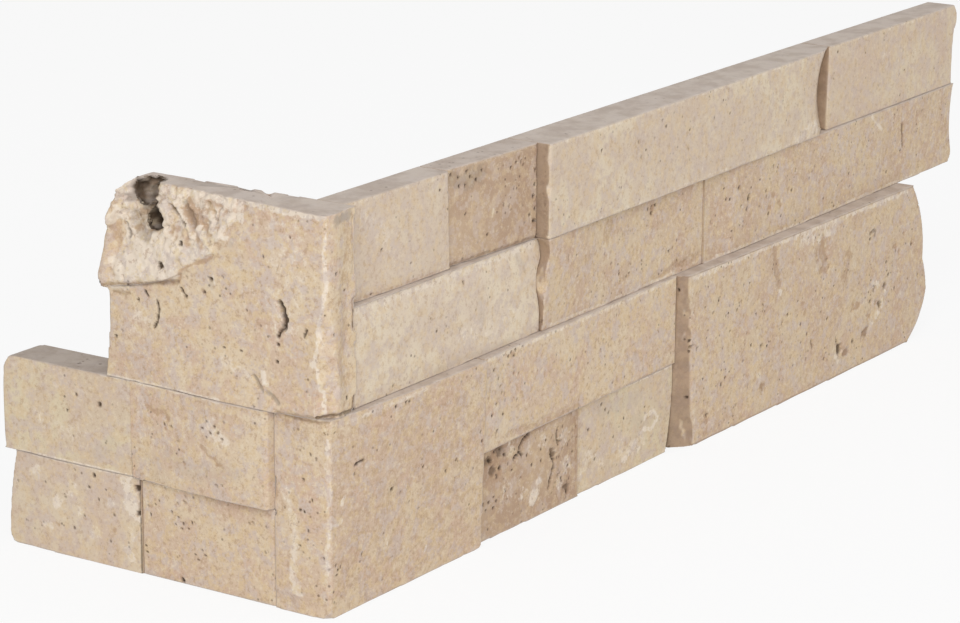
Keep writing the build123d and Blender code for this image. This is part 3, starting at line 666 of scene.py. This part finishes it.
MARKS["top_course_stone_3"] = [
    mark(5, (330, 117), (342, 119), (352, 121), (357, 117), rag=0.3, calcite=0.55),
    mark(1.6, (246.8, 150), (246.4, 136), (246, 118), rag=0.4, calcite=0.3),
    mark(2, (266.2, 150.4), rag=0.4, rust=0.7),
    mark(5, (192, 140), (197, 134), rag=0.8, rust=0.35),
    mark(3.4, (212, 144), rag=0.8, rust=0.3),
    *pits(0.5, (191.6, 141), (198, 136.5), (194.2, 134.3), (211.1, 146.6), (214.4, 143.5), (234.1, 138.3),
          (254.7, 139.7), (163.2, 142.9)),
    mark(1.4, (124, 151.8), (240, 151.8), (360, 151.8), rag=0.5, calcite=0.5),
    mark(1.2, (130, 115.6), (240, 115.6), (350, 115.6), rag=0.5, calcite=0.35),
    mark(10, (300, 140), (330, 130), rust=0.22),
]
MARKS["top_course_stone_4"] = [
    *pits(0.45, (372.2, 148.6), (436.2, 118), (440, 129.3)),
    mark(1.3, (368, 151.8), (430, 151.8), (490, 151.8), rag=0.5, calcite=0.4),
    mark(9, (420, 140), (450, 132), calcite=0.25),
    mark(1.4, (366, 118), (365.4, 130), (365.2, 148), rag=0.5, calcite=0.3),
]
print("all stones:", sum(map(len, MARKS.values())), "marks")

# %% [markdown]
# Some arrises have broken off further than the saw left them. A flat shave with a little noise in
# it takes the corner away: everything beyond a tilted plane is pushed back onto it. Planes that
# hardly lean lay a whole face back, where two neighbours are flush.

# %% Shaved arrises and corners
# stone: (a point on the plane, the way it faces, how ragged it is), in mm
SHAVES = {
    "return_second_stone_1": [((-18.5, 74, 57), (-1, 0.06, 0), 0.0)],
    "return_bottom_stone_2": [((-17.7, 70.8, 19), (-1, -0.012, 0), 0.0)],
    "corner_block_upper": [((-19.4, -13.8, 95), (-0.63, -0.775, -0.065), 1.1)],
    "corner_block_lower": [((78.2, -20, 0), (0.62, 0.0, -0.78), 0.6),
                           ((0, -19.5, 0.8), (0, -0.45, -0.9), 0.3),
                           ((-16.6, -16.8, 1.6), (-0.6, -0.5, -0.62), 0.8)],
    "bottom_course_stone_2": [((226.4, -12, 6), (0.86, 0, -0.5), 0.4)],
    "end_block": [((230.5, -14.2, 0), (-0.65, -0.755, -0.045), 0.7)],
    "top_course_stone_3": [((125.0, -20.0, 134), (-0.8, -0.6, 0.0), 0.8)],
    "top_course_stone_2": [((124.0, -14.6, 134), (0.75, -0.66, 0.0), 0.8)],
    "third_course_stone_2": [((126.4, -18.8, 96), (-0.8, -0.6, 0.0), 0.7)],
}


def shave(points, cuts, seed):
    for at, way, rag in cuts:
        way = np.array(way) / np.linalg.norm(way)
        uneven = clouds(points, 5, seed) + 0.4 * clouds(points, 1.8, seed + 1)
        beyond = (points - np.array(at)) @ way + rag * uneven
        points = points - way * np.maximum(beyond, 0)[:, None]
    return points


print("shaved stones:", len(SHAVES))

# %% [markdown]
# An arris wears because nothing supports it. Averaging each point of the skin with its neighbours
# does the same: a flat stays where it is and an edge sinks, so the difference between the two
# states says how sharp the stone is at each point.

# %% Reading and softening a skin
def soften(values, edges, rounds):
    """Average each point with its neighbours along the edges, several times."""
    count = np.bincount(edges.ravel(), minlength=len(values))
    for _ in range(rounds):
        total = np.zeros_like(values)
        for axis in range(values.shape[1]):
            total[:, axis] += np.bincount(edges[:, 0], values[edges[:, 1], axis], len(values))
            total[:, axis] += np.bincount(edges[:, 1], values[edges[:, 0], axis], len(values))
        values = 0.5 * values + 0.5 * total / count[:, None]
    return values


def read(mesh):
    count = len(mesh.vertices)
    points, normals = np.zeros(count * 3), np.zeros(count * 3)
    mesh.vertices.foreach_get("co", points)
    mesh.vertex_normals.foreach_get("vector", normals)
    edges = np.zeros(len(mesh.edges) * 2, np.int64)
    mesh.edges.foreach_get("vertices", edges)
    return points.reshape(-1, 3) / MM, normals.reshape(-1, 3), edges.reshape(-1, 2)


tent = soften(np.array([[0.0], [1.0], [0.0]]), np.array([[0, 1], [1, 2]]), 1).ravel()
print("a sharp peak of 1, softened once:", tent)

# %% [markdown]
# Each point has to know which way it looks: out of the wall, along the broken outer end, or at a
# neighbour and the wall. The softened normals give that as soft shares from 0 to 1, so that waves
# and colours run out over an arris instead of stopping in a line.

# %% Where each point of a skin looks
BLUNT_ENDS = ("third_course_stone_1", "bottom_course_stone_2")


class Skin:
    """The points of one stone's skin in mm, and what they look at."""

    def __init__(self, node, mesh, number):
        self.node, self.seed = node, 100 * number
        self.faces, self.broken, self.pitted, self.waves, self.roundness = STONES[node][1:]
        cuts = SHAVES.get(node, ())
        points, normals, edges = read(mesh)
        if cuts:
            mesh.vertices.foreach_set("co", (shave(points, cuts, self.seed + 40) * MM).ravel())
            mesh.update()
            points, normals, edges = read(mesh)
        self.at_rest, self.up = points, points[:, 2]
        self.points = shave(self.filled(points, normals), cuts, self.seed + 40)
        self.soft = soften(self.points, edges, SOFT_ROUNDS)
        self.worn = np.linalg.norm(self.soft - self.points, axis=1)
        normals = soften(normals, edges, 2)
        self.normals = normals / np.linalg.norm(normals, axis=1)[:, None]
        self.toward = {face: self.normals @ LOOKS_TO[face] for face in LOOKS_TO}
        self.facing = np.sqrt(sum(np.maximum(self.toward[face], 0) ** 2 for face in self.faces))
        self.shown = smooth((self.facing - 0.78) / 0.17)
        self.rough = np.zeros(len(points))
        if self.broken:
            outward = self.normals @ OUTER_END[self.faces[0]]
            self.rough = smooth((outward - 0.45) / 0.35) * (0.5 if node in BLUNT_ENDS else 1.0)

    def filled(self, points, normals):
        """The CAD chamfer pushed out again where the real arris is sharp."""
        foot, top = FULLNESS[self.node]
        up = points[:, 2]
        missing = np.maximum(foot * (CHAMFER - up + up.min()), top * (CHAMFER - up.max() + up))
        for face in self.faces:
            outward = smooth((normals @ LOOKS_TO[face] - 0.12) / 0.3) * missing.clip(0, CHAMFER)
            points = points + LOOKS_TO[face] * outward[:, None]
        return points

    def clouds(self, size, number):
        return clouds(self.points, size, self.seed + number)


print("blunt broken ends:", ", ".join(BLUNT_ENDS))

# %% [markdown]
# A split face is never flat. Long waves come from the split itself, fine grain from the crystals,
# and open pores lie where the cut runs through old bubbles, in swarms, because each layer of the
# water's lime had its own. The whole face lies a little inside the sawn solid, so that its waves
# can rise without leaving the outline. A broken end is jagged at three sizes.

# %% Waves, pores and worn arrises
FACE_INSET = 0.34
END_INSET = 0.75


def split_waves(skin):
    lumps = skin.clouds(23, 0) * 0.24 + skin.clouds(7, 1) * 0.14
    grain = skin.clouds(2.6, 2) * 0.045 + skin.clouds(1.3, 3) * 0.03
    sink = skin.shown * skin.waves * (lumps + grain) * 0.8
    sink = sink + smooth((skin.facing - 0.4) / 0.3) * FACE_INSET
    jagged = 0.5 * skin.clouds(8, 4) + 0.32 * skin.clouds(3.2, 5) + 0.15 * skin.clouds(1.4, 6)
    return np.maximum(sink, 0) + skin.rough * np.maximum(END_INSET + jagged, 0)


def open_pores(skin):
    wide = hollows(skin.points, skin.normals, 4.4, 0.8, skin.pitted * 0.12, skin.seed + 10)
    fine = hollows(skin.points, skin.normals, 2.2, 0.45, skin.pitted * 0.14, skin.seed + 20)
    swarm = smooth(skin.clouds(16, 8) * 1.6 + 0.15 + skin.pitted * 0.5) > 0.4
    return np.maximum(wide, fine) * np.maximum(skin.shown, skin.rough) * swarm


def worn_shape(skin, depth):
    """Round the arrises unevenly and sink the face by depth, but leave glued joints closed."""
    foot, top = FULLNESS[skin.node]
    at_foot, at_top = 3 - skin.up + skin.up.min(), 3 - skin.up.max() + skin.up
    tight = np.maximum(foot * smooth(at_foot / 2.5), top * smooth(at_top / 2.5))
    uneven = skin.clouds(9, 7) * 0.6 + skin.clouds(3, 9) * 0.5
    wear = np.clip(skin.roundness + uneven * (0.3 + skin.roundness), 0.05, 1.7)
    wear = wear * np.maximum(skin.shown, 0.55) * (1 - 0.9 * tight**2)
    held = np.ones((len(skin.points), 3))
    held[:, 2] -= tight
    if len(skin.faces) == 1:
        held[:, 0 if skin.faces[0] == LONG else 1] = np.maximum(0.15, skin.rough)
    return skin.points + (skin.soft - skin.points) * wear[:, None] - skin.normals * held * depth[:, None]


print("inset of the faces:", FACE_INSET, "mm, of the broken ends:", END_INSET, "mm")

# %% [markdown]
# The crust is made of the same clouds, but some of them are folded: turned upside down, their
# absolute value is a net of ridges, and ridges and lumps together look like grown crystal. Its
# hollows get their own, rougher walls, and a dark fill that is partly earth and partly painted shade.

# %% The crust and its hollows
def grow_crust(skin, shaped, paint):
    crust = crust_cover(skin.points) * smooth((skin.toward[RETURN] - 0.3) / 0.3)
    ridges = 1 - 2 * np.abs(clouds(skin.points, 2.7, 902))
    knobs = clouds(skin.points, 4.4, 901) * 0.75 + ridges * 0.4 + clouds(skin.points, 1.3, 903) * 0.5
    upper = smooth((skin.up - 130) / 6)
    shaped[:, 0] -= crust * knobs * (0.75 + 0.45 * upper)
    tint = clouds(skin.points, 3.6, 904) + 0.6 * clouds(skin.points, 1.6, 908)
    # rust gathers where the knobs sink: brown stain, and painted shade in the crust's dips
    paint["rust"] = crust * smooth((0.35 * upper - knobs * 0.5 - tint * 0.5) / 0.6) * 0.9
    paint["calcite"] = crust * np.clip(0.75 - 0.2 * upper + tint * 0.4 + knobs * 0.25, 0, 1)
    paint["ash"] = crust * smooth((tint - 0.35) / 0.5) * 0.5
    hollow = near_a_hole(skin.points)
    walls = np.abs(clouds(skin.points, 3.1, 905)) * 1.6 + np.abs(clouds(skin.points, 1.5, 906)) * 0.8
    shaped -= skin.normals * (hollow * walls)[:, None]
    # the hollows get a dark fill in the earth mask: dirt, and painted shade in the deep holes
    hole_earth_and_shade = hollow * np.clip(0.85 + 0.5 * clouds(skin.points, 2.4, 907), 0.3, 1)
    paint["earth"] = np.maximum(paint["earth"], hole_earth_and_shade)


print("hollows in the crust:", [f"{2 * radius:.0f} mm wide" for at, radius in HOLES])

# %% [markdown]
# The marks are pressed in last. Each one asks how far a point is from its line, and the answer is
# first shaken by a little noise, because a crack with a straight rim looks drawn. A groove has a
# round bottom, and a wide or raised mark fades out softly instead.

# %% Pressing the marks in
def press_marks(skin, shaped, paint):
    wobble = [skin.clouds(2.1, 30 + n) * 0.65 + skin.clouds(0.9, 33 + n) * 0.35 for n in range(3)]
    wobble = np.stack(wobble, axis=1)
    for item in MARKS.get(skin.node, ()):
        reach, face = item["reach"], item["face"] or skin.faces[0]
        if len(item["path"][0]) == 3:
            place, seen, inward = skin.points, 1.0, -skin.normals
        elif face == BED:
            seen = smooth((skin.normals[:, 2] - 0.7) / 0.2)
            place, inward = skin.points[:, :2], np.array([[0.0, 0.0, -1.0]])
        else:
            seen = smooth((skin.toward[face] - 0.25) / 0.35)
            along = skin.points[:, 0 if face == LONG else 1]
            place, inward = np.stack([along, skin.points[:, 2]], axis=1), -LOOKS_TO[face][None, :]
        shaken = place + wobble[:, :place.shape[1]] * item["rag"] * reach
        off = distance_to_path(shaken, item["path"]) / reach
        if item["rag"] > 0.11 and (item["sink"] < 0 or reach > 3):
            fall = smooth(1.2 * (1 - off))
        else:
            fall = np.sqrt(np.clip(1 - off**2, 0, 1))
        shaped += inward * (item["sink"] * fall * seen)[:, None]
        for name, strength in item["paint"].items():
            stain = smooth((1 - off) * (2.6 if name == "earth" else 1.5)) * seen
            paint[name] = np.maximum(paint[name], strength * stain)


print("longest row of marks:", max(MARKS, key=lambda name: len(MARKS[name])))

# %% [markdown]
# The sides that the saw cut have another colour than the split face: the beds and the back are
# smooth and greyish, and the glued ends are painted browner, partly their own colour and partly
# painted shade. So each point is also told what it belongs to.
# All steps together give the shape of one stone, which is kept within the outline of its solid.

# %% Shaping one stone
# Where the glued end begins, as a share of looking out of the wall, and how softly it does. The
# shaved end of the end block leans out of the wall and still gets the brown, which is partly painted shade.
END_BEGINS = {"end_block": (0.78, 0.17)}


def paint_sides(skin, paint):
    away = np.max([-skin.toward[face] for face in skin.faces], axis=0)
    paint["bed"] = smooth((np.maximum(np.abs(skin.normals[:, 2]), away) - 0.6) / 0.3)
    limit, fade = END_BEGINS.get(skin.node, (0.35, 0.25))
    # the glued ends get their brown here: partly their own colour, partly painted shade
    turned = 1 - smooth((skin.facing - limit) / fade) - paint["bed"] - skin.rough * 0.6
    paint["end_brown_and_shade"] = np.clip(turned, 0, 1) * PALE_ENDS.get(skin.node, 1.0)
    paint["arris"] = smooth(skin.worn / (0.5 * SKIN_STEP)) * np.maximum(skin.shown, 0.4)


def shape_stone(node, mesh, number):
    """The shaped points, their paint, and which of them lie on a plain sawn side."""
    skin = Skin(node, mesh, number)
    pores = open_pores(skin)
    paint = {name: np.zeros(len(pores)) for name in PAINTS}
    paint["earth"] = smooth(pores / 0.55) * 0.75
    shaped = worn_shape(skin, split_waves(skin) + pores)
    if node == "corner_block_upper":
        grow_crust(skin, shaped, paint)
    press_marks(skin, shaped, paint)
    shaped = np.clip(shaped, skin.at_rest.min(axis=0), skin.at_rest.max(axis=0))
    paint_sides(skin, paint)
    square_on = (np.abs(skin.normals).max(axis=1) > 0.9999) & (paint["earth"] + paint["ash"] < 0.01)
    untouched = (np.maximum(skin.shown, skin.rough) < 0.02) & (skin.worn < 0.06 * SKIN_STEP)
    return shaped, paint, untouched & square_on


print("the end block's end begins at", END_BEGINS["end_block"][0])

# %% [markdown]
# The sawn beds, the back and the glued ends are flat, so their small squares carry nothing. They
# are cut out and each opening is closed by large triangles, which keeps the panel light. A point
# also remembers where it lay in the quarry block, turned and shifted per stone, so that the
# shader's veins stop at every joint as they do between real stones.

# %% Building the stones
def lighten(mesh, plain):
    """Swap the squares of each plain side for a few large triangles; the number of odd edges."""
    work = bmesh.new()
    work.from_mesh(mesh)
    work.verts.ensure_lookup_table()
    flat = [work.verts[int(i)] for i in np.flatnonzero(plain)]
    for vert in work.verts:
        vert.tag = False
    for vert in flat:
        vert.tag = True
    faces = [face for face in work.faces if all(vert.tag for vert in face.verts)]
    bmesh.ops.delete(work, geom=faces, context="FACES")
    loose = [vert for vert in work.verts if not vert.link_faces]
    bmesh.ops.delete(work, geom=loose, context="VERTS")
    rims = [edge for edge in work.edges if edge.is_boundary]
    bmesh.ops.holes_fill(work, edges=rims, sides=0)
    large = [face for face in work.faces if len(face.verts) > 4]
    bmesh.ops.triangulate(work, faces=large, ngon_method="EAR_CLIP")
    odd = sum(not edge.is_manifold for edge in work.edges)
    work.to_mesh(mesh)
    work.free()
    return odd


def quarry_place(points, number):
    """Where the points lay in the quarry block, in metres."""
    turn = Matrix.Rotation(0.35 * math.sin(2.4 * number), 3, "Y") @ Matrix.Rotation(1.9 * number, 3, "Z")
    shift = np.array([37.0 * number, 91.0 * (number % 5), 53.0 * (number % 7)])
    return (points @ np.array(turn).T + shift) * MM


stone_objects = {}
for number, node in enumerate(STONES):
    skin = fine_skin(node, SKIN_STEP)
    shaped, paint, plain = shape_stone(node, skin, number)
    skin.vertices.foreach_set("co", (shaped * MM).astype(np.float32).ravel())
    for name, values in paint.items():
        skin.attributes.new(name, "FLOAT", "POINT").data.foreach_set("value", values.astype(np.float32))
    place = quarry_place(shaped, number)
    quarry = skin.attributes.new("quarry", "FLOAT_VECTOR", "POINT")
    quarry.data.foreach_set("vector", place.astype(np.float32).ravel())
    before = len(skin.polygons)
    odd = lighten(skin, plain)
    skin.shade_smooth()
    stone = bpy.data.objects.new(node + "_dressed", skin)
    bpy.context.scene.collection.objects.link(stone)
    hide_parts(node)
    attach(stone, "root")
    stone_objects[node] = stone
    skin.calc_loop_triangles()
    triangles = len(skin.loop_triangles)
    print(f"{node}: {before} squares, {triangles} triangles once the flats are closed, {odd} odd edges")
print("triangles in all:", sum(len(s.data.loop_triangles) for s in stone_objects.values()))

# %% [markdown]
# The colour of travertine is worked out by the shader, from the place in the quarry block and the
# painted masks. Long chains of nodes are hard to read, so a small class wraps a socket: a mask can
# then be written as a sum, and each sign adds its Math node.

# %% A socket that can be reckoned with
class Reading:
    """A socket's value; every sign used on it adds a Math node."""

    def __init__(self, finish, socket):
        self.finish, self.socket = finish, socket

    def maths(self, operation, *values):
        return self.finish.add("Math", {"operation": operation}, dict(enumerate(values)))

    def __add__(self, other):
        return self.maths("ADD", self, other)

    def __sub__(self, other):
        return self.maths("SUBTRACT", self, other)

    def __rsub__(self, other):
        return self.maths("SUBTRACT", other, self)

    def __mul__(self, other):
        return self.maths("MULTIPLY", self, other)

    def __truediv__(self, other):
        return self.maths("DIVIDE", self, other)

    def __rtruediv__(self, other):
        return self.maths("DIVIDE", other, self)

    __radd__, __rmul__ = __add__, __mul__

    def between(self, low, high):
        """0 below low, 1 above high, and smooth from one to the other."""
        settings = {"interpolation_type": "SMOOTHSTEP"}
        return self.finish.add("MapRange", settings, {"Value": self, "From Min": low, "From Max": high})


class Finish:
    """The nodes of a material or a world, and the one method that adds them."""

    def __init__(self, owner):
        owner.use_nodes = True
        self.owner = owner
        self.tree = owner.node_tree
        self.tree.nodes.clear()

    def add(self, kind, settings=None, sockets=None, out=0):
        node = self.tree.nodes.new("ShaderNode" + kind)
        for name, value in (settings or {}).items():
            setattr(node, name, value)
        for key, value in (sockets or {}).items():
            if isinstance(value, Reading):
                self.tree.links.new(value.socket, node.inputs[key])
            else:
                node.inputs[key].default_value = value
        return Reading(self, node.outputs[out]) if node.outputs else node

    def blend(self, share, one, other, how="MIX"):
        settings = {"data_type": "RGBA", "blend_type": how, "clamp_factor": True}
        return self.add("Mix", settings, {0: share, 6: one, 7: other}, out=2)

    def painted(self, name):
        return self.add("Attribute", {"attribute_name": name}, out=2)


def screen(red, green, blue):
    """A colour as a screen shows it, 0 to 255, turned into the light the shader mixes."""
    values = [c / 255 for c in (red, green, blue)]
    return tuple(c / 12.92 if c <= 0.04045 else ((c + 0.055) / 1.055) ** 2.4 for c in values) + (1.0,)


print("plain tan travertine in light:", [round(c, 3) for c in screen(203, 180, 157)])

# %% [markdown]
# Travertine is laid down in thin layers by hard water, so its colours drift: a base tone with
# creamy, pinkish and greyish clouds from thumbnail size down to a few millimetres, crossed by a
# fine sandy grain. Open pores are darker inside. All of it comes from noise at several sizes.
# A photograph would show the same but could not turn with the stone.

# %% The travertine recipe
# finish: base tone, cream tone, rosy tone, pinholes (0 to 1), contrast of the clouds
TONES = {
    "cream_travertine": (screen(206, 188, 168), screen(219, 205, 180), screen(201, 180, 160), 0.25, 0.8),
    "brown_travertine": (screen(176, 149, 125), screen(192, 167, 140), screen(171, 142, 120), 0.9, 0.6),
    "ivory_travertine": (screen(210, 193, 174), screen(222, 208, 184), screen(206, 187, 169), 0.12, 0.8),
    "pinkish_travertine": (screen(203, 183, 163), screen(214, 198, 172), screen(201, 177, 159), 0.15, 0.8),
    "tan_travertine": (screen(202, 178, 155), screen(215, 197, 168), screen(200, 172, 150), 0.4, 1.15),
    "pitted_tan_travertine": (screen(197, 173, 149), screen(209, 190, 161), screen(194, 166, 144), 0.6, 1.1),
    "greenish_travertine": (screen(203, 184, 160), screen(213, 199, 168), screen(200, 178, 157), 0.3, 0.9),
}
# the white of calcite, also painted as light along some glued joints to lift their shade
WHITE_CALCITE_AND_PAINTED_LIGHT = screen(223, 209, 192)
GREY_CRYSTAL = screen(199, 184, 174)
HONEY_CRYSTAL = screen(214, 194, 157)
BROWN_CRYSTAL = screen(158, 132, 108)
BRIGHT_CRYSTAL = screen(234, 224, 210)
LILAC = screen(200, 183, 171)
OCHRE_SAND = screen(209, 185, 149)
BROWN_FLECK = screen(176, 147, 120)
PALE_FLECK = screen(218, 202, 178)
# dark earth brown, also the painted shade in the deep hollows, under the crust's lip and on one shaded top
# bed
EARTH_AND_SHADE = screen(66, 49, 32)
# warm brown of stains, also the painted shade under the crust's lip and in its dips
RUST_AND_SHADE = screen(168, 136, 107)
ASH = screen(184, 172, 158)
BED_TONE = screen(198, 186, 177)
# the brown of the glued ends, partly their own colour and partly painted shade
END_BROWN_AND_SHADE = screen(160, 136, 114)
END_BROWN_AND_SHADE_DARK = screen(142, 118, 97)
BED_SHADE = screen(178, 164, 154)


def travertine(name, base, cream, rosy, pinholes, contrast):
    finish = Finish(bpy.data.materials.new(name))
    place = finish.add("Attribute", {"attribute_name": "quarry"}, out=1)

    def noise(per_metre, detail, roughness=0.55, distortion=0.0):
        sockets = {"Vector": place, "Scale": per_metre, "Detail": detail}
        sockets.update({"Roughness": roughness, "Distortion": distortion})
        return finish.add("TexNoise", {"noise_dimensions": "3D"}, sockets)

    def pores(per_metre, rim, swarm, low, high, fade=0.14):
        """Dots in the cells of a Voronoi pattern, where a noise says that there is a swarm."""
        cell = {"Vector": place, "Scale": per_metre, "Randomness": 1.0}
        inside = 1 - finish.add("TexVoronoi", {"feature": "F1"}, cell).between(rim, rim + fade)
        return inside * swarm.between(low - 0.12 * pinholes, high - 0.10 * pinholes)

    def clouded(colour, layers):
        """Lay tones over a colour: the noise, where it begins and is full, how strong, the tone."""
        for cloud, low, high, strength, tone in layers:
            colour = finish.blend(cloud.between(low, high) * strength, colour, tone)
        return colour

    drift = noise(26, 2.0)
    patches = noise(75, 3.0, 0.6)
    haze = noise(150, 4.0, 0.65)
    ochre = noise(230, 4.0, 0.7)
    flecks = noise(430, 5.0, 0.75)
    sand = noise(1100, 2.0)
    veins = noise(75, 4.0, 0.7, 1.6)
    colour = clouded(base, [
        (drift, 0.42, 0.58, 0.7, cream),
        (patches, 0.46, 0.58, 0.7 * contrast, rosy),
        (haze, 0.49, 0.58, 0.75 * contrast, LILAC),
        (ochre, 0.50, 0.58, 0.65 * contrast, OCHRE_SAND),
        (flecks, 0.54, 0.62, 0.6 * contrast, PALE_FLECK),
        (1 - flecks, 0.54, 0.62, 0.55 * contrast, BROWN_FLECK),
        (veins, 0.60, 0.70, 0.3 * contrast, WHITE_CALCITE_AND_PAINTED_LIGHT),
        (sand, 0.56, 0.68, 0.3 * contrast, BROWN_FLECK),
    ])
    crystals_and_painted_light = clouded(WHITE_CALCITE_AND_PAINTED_LIGHT, [
        (haze, 0.50, 0.58, 0.7, GREY_CRYSTAL),
        (ochre, 0.52, 0.60, 0.6, HONEY_CRYSTAL),
        (1 - flecks, 0.55, 0.64, 0.55, BROWN_CRYSTAL),
        (flecks, 0.56, 0.64, 0.7, BRIGHT_CRYSTAL),
    ])
    open_pore = pores(330.0, 0.10, noise(90, 2.0), 0.56, 0.72)
    tiny_pore = pores(900.0, 0.12, flecks, 0.60, 0.74)

    ragged = noise(330, 5.0, 0.8) * 2.4 - 1.2
    calcite = (finish.painted("calcite") + ragged).between(0.22, 0.80) * 0.9
    rust = (finish.painted("rust") + ragged).between(0.20, 1.0) * (0.2 + flecks)
    ash = finish.painted("ash") * (0.2 + flecks * 0.9)
    worn = finish.painted("arris") * (0.1 + flecks * 0.6)
    bed_colour = finish.blend(noise(95, 4.0, 0.6).between(0.38, 0.66), BED_TONE, BED_SHADE)
    end_brown_and_shade_colour = finish.blend((flecks * 0.5 + haze * 0.5).between(0.44, 0.58), END_BROWN_AND_SHADE, END_BROWN_AND_SHADE_DARK)
    for share, tone in (
        (ash, ASH),
        # rust: brown stains, and painted shade under the crust's lip and in its dips
        (rust, RUST_AND_SHADE),
        # calcite: white crystals and pale dust, and painted light along some glued joints
        (calcite, crystals_and_painted_light),
        (worn, WHITE_CALCITE_AND_PAINTED_LIGHT),
        (finish.painted("bed") * 0.85, bed_colour),
        # glued ends: their own brown, and painted shade
        (finish.painted("end_brown_and_shade") * 0.85, end_brown_and_shade_colour),
        (open_pore * 0.6 + tiny_pore * 0.4, EARTH_AND_SHADE),
        # earth: dirt in pits and cracks, and painted shade in the deep hollows, under the lip and on one top
        # bed
        (finish.painted("earth") * (0.75 + flecks * 0.4), EARTH_AND_SHADE),
    ):
        colour = finish.blend(share, colour, tone)

    height = sand * 0.35 + flecks * 0.5 - open_pore * 1.4 - tiny_pore * 0.7
    relief = finish.add("Bump", {}, {"Strength": 0.35, "Distance": 0.00030, "Height": height})
    rough = 0.62 + sand * 0.25 - calcite * 0.10
    look = {"Base Color": colour, "Roughness": rough, "IOR": 1.45, "Normal": relief}
    finish.add("OutputMaterial", {}, {"Surface": finish.add("BsdfPrincipled", {}, look)})
    return finish.owner


FINISHES = {name: travertine(name, *tone) for name, tone in TONES.items()}
for node, stone in stone_objects.items():
    stone.data.materials.clear()
    stone.data.materials.append(FINISHES[STONES[node][0]])
print(len(FINISHES), "finishes,", sum(len(m.node_tree.nodes) for m in FINISHES.values()), "nodes")

# %% [markdown]
# The panel stands on its own on a pale floor, as it would in a photo studio. The floor and the
# backdrop are white to the camera and in reflections, and stay an ordinary pale surface for the
# light, so the stone keeps its soft shadow and no extra light falls on it.

# %% Floor, backdrop and lamps
WHITE = (1.0, 1.0, 1.0, 1.0)
half = 9.0
corners = [(-half, -half, 0), (half, -half, 0), (half, half, 0), (-half, half, 0)]
floor_mesh = bpy.data.meshes.new("floor")
floor_mesh.from_pydata(corners, [], [(0, 1, 2, 3)])
floor = bpy.data.objects.new("floor", floor_mesh)
bpy.context.scene.collection.objects.link(floor)
paper = Finish(bpy.data.materials.new("white_paper"))
seen = paper.add("LightPath", {}, out=0)
mirrored = paper.add("LightPath", {}, out=3)
matt = paper.add("BsdfDiffuse", {}, {"Color": (0.86, 0.86, 0.86, 1.0)})
glow = paper.add("Emission", {}, {"Color": WHITE, "Strength": 1.0})
share = (seen + mirrored).between(0.0, 1.0) * 0.85
paper.add("OutputMaterial", {}, {"Surface": paper.add("MixShader", {}, {0: share, 1: matt, 2: glow})})
floor_mesh.materials.append(paper.owner)
floor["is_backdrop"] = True

world = bpy.data.worlds.new("studio")
bpy.context.scene.world = world
studio = Finish(world)
to_camera = studio.add("LightPath", {}, out=0)
to_gloss = studio.add("LightPath", {}, out=3)
to_glass = studio.add("LightPath", {}, out=6)
ambient = studio.add("Background", {}, {"Color": WHITE, "Strength": 0.54})
backdrop = studio.add("Background", {}, {"Color": WHITE, "Strength": 1.0})
shown_white = (to_camera + to_gloss + to_glass).between(0.0, 1.0)
surround = studio.add("MixShader", {}, {0: shown_white, 1: ambient, 2: backdrop})
studio.add("OutputWorld", {}, {"Surface": surround})

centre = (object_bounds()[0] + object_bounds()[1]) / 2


def softbox(name, way, distance, size, power):
    lamp = bpy.data.lights.new(name, "AREA")
    lamp.shape, lamp.size, lamp.energy = "SQUARE", size, power
    box = bpy.data.objects.new(name, lamp)
    bpy.context.scene.collection.objects.link(box)
    way = Vector(way).normalized()
    box.location = centre + way * distance
    box.rotation_euler = (-way).to_track_quat("-Z", "Y").to_euler()
    return box


softbox("key_softbox", (-0.92, -0.55, 0.62), 2.6, 1.6, 35.0)
softbox("fill_softbox", (0.30, -1.0, 0.45), 2.6, 1.8, 8.8)

# %% [markdown]
# The camera stands where the photo was taken, in front of the outside corner and a little
# above the panel, with a long lens that keeps the courses nearly parallel.

# %% The camera
lens = bpy.data.cameras.new("camera")
lens.lens, lens.sensor_width, lens.sensor_fit = 124.12, 36.0, "HORIZONTAL"
lens.clip_start, lens.clip_end = 0.05, 50.0
camera = bpy.data.objects.new("camera", lens)
bpy.context.scene.collection.objects.link(camera)
right = Vector((0.55660801, -0.83076058, 0.00493862))
up = Vector((0.21959568, 0.15285666, 0.96354168))
forward = Vector((0.80122735, 0.53523052, -0.26751268))
turn = Matrix((right, up, -forward)).transposed()
camera.matrix_world = Matrix.Translation((-0.9304, -0.6924, 0.4324)) @ turn.to_4x4()
bpy.context.scene.camera = camera
bpy.context.scene.view_settings.view_transform = "Standard"
